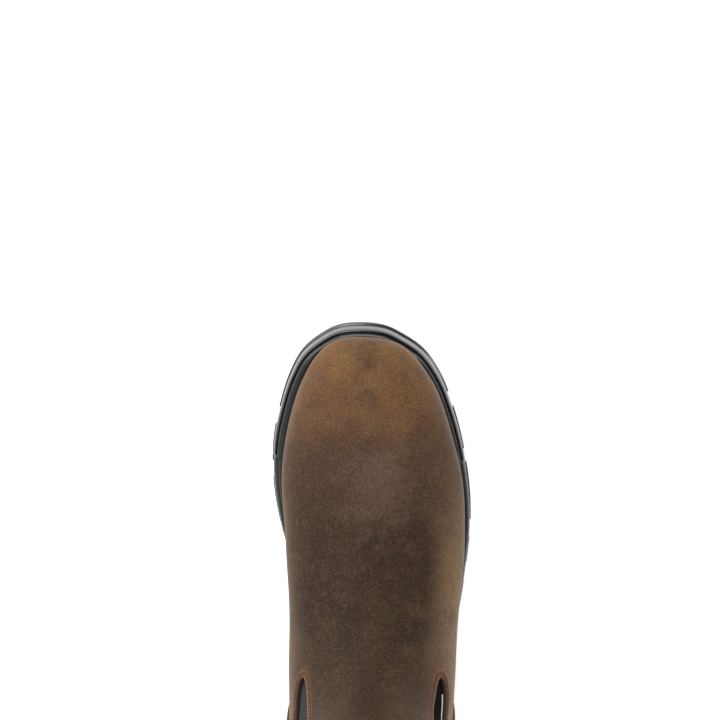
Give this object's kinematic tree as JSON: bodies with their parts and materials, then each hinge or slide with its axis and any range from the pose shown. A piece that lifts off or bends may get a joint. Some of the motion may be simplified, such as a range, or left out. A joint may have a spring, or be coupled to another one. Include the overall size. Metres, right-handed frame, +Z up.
{
  "type": "pull-on work boot",
  "caption": "Ankle-high pull-on work boot for the right foot: oiled leather upper with elastic side gores, heel pull loop and a lugged black rubber sole with a heel.",
  "frame": {"origin": "on the floor, at the middle of the boot's length and width", "axes": "+Z up, toe towards -Y, heel towards +Y, medial (big toe) side towards +X"},
  "size_m": [0.121, 0.324, 0.193],
  "materials": {
    "rubber": "satin black moulded rubber",
    "midsole_rubber": "satin black rubber",
    "footbed": "matt knitted cover",
    "oiled_leather": "waxy oiled pull-up leather, brown",
    "elastic": "ribbed charcoal elastic",
    "backstay_leather": "oiled leather, brown",
    "webbing": "woven black webbing"
  },
  "bodies": {
    "root": {"outsole": "rubber", "midsole": "midsole_rubber", "insole": "footbed", "upper": "oiled_leather", "gore_medial": "elastic", "gore_lateral": "elastic", "backstay": "backstay_leather", "pull_loop": "webbing"}
  },
  "joints": []
}
